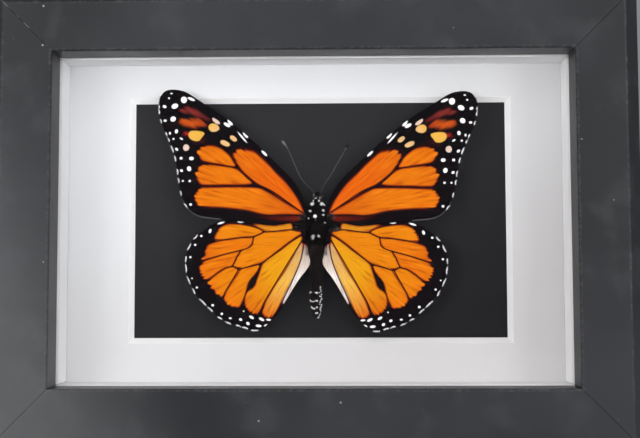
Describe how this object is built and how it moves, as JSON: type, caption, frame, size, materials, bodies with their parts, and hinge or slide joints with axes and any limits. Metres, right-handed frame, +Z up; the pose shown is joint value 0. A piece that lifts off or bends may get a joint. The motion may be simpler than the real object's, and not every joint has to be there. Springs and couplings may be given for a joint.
{
  "type": "framed butterfly specimen",
  "caption": "Pinned orange and black butterfly on black card in a glazed black shadow-box frame with a white window mat, standing on its bottom rail.",
  "frame": {"origin": "on the surface the frame stands on, below the middle of its width and depth", "axes": "+Z up, front of the frame faces -Y, +X to the viewer's right"},
  "size_m": [0.181, 0.034, 0.1292],
  "materials": {
    "frame_foil": "satin black foil over fibreboard",
    "glass": "clear float glass",
    "white_card": "matt white card",
    "black_card": "matt black paper on foam board",
    "hardboard": "brown hardboard",
    "zinc_steel": "zinc-plated steel",
    "pin": "steel pin with a white enamel head",
    "forewing": "orange wing scales with black veins and white spots",
    "hindwing": "orange-yellow wing scales with black veins and white spots",
    "fur": "black body hair with white tufts",
    "horn": "dark insect cuticle"
  },
  "bodies": {
    "root": {"rail_top": "frame_foil", "rail_bottom": "frame_foil", "stile_left": "frame_foil", "stile_right": "frame_foil", "glass_pane": "glass", "liner_top": "white_card", "liner_bottom": "white_card", "liner_left": "white_card", "liner_right": "white_card", "window_mat": "white_card", "black_card": "black_card", "back_board": "hardboard", "retaining_point_1": "zinc_steel", "retaining_point_2": "zinc_steel", "retaining_point_3": "zinc_steel", "retaining_point_4": "zinc_steel", "retaining_point_5": "zinc_steel", "retaining_point_6": "zinc_steel", "sawtooth_hanger": "zinc_steel", "hanger_rivet_left": "zinc_steel", "hanger_rivet_right": "zinc_steel", "insect_pin": "pin", "head": "fur", "thorax": "fur", "abdomen": "fur", "forewing_left": "forewing", "forewing_right": "forewing", "hindwing_left": "hindwing", "hindwing_right": "hindwing", "antenna_left": "horn", "antenna_right": "horn", "leg_mid_left": "horn", "leg_mid_right": "horn", "leg_hind_left": "horn", "leg_hind_right": "horn"}
  },
  "joints": []
}
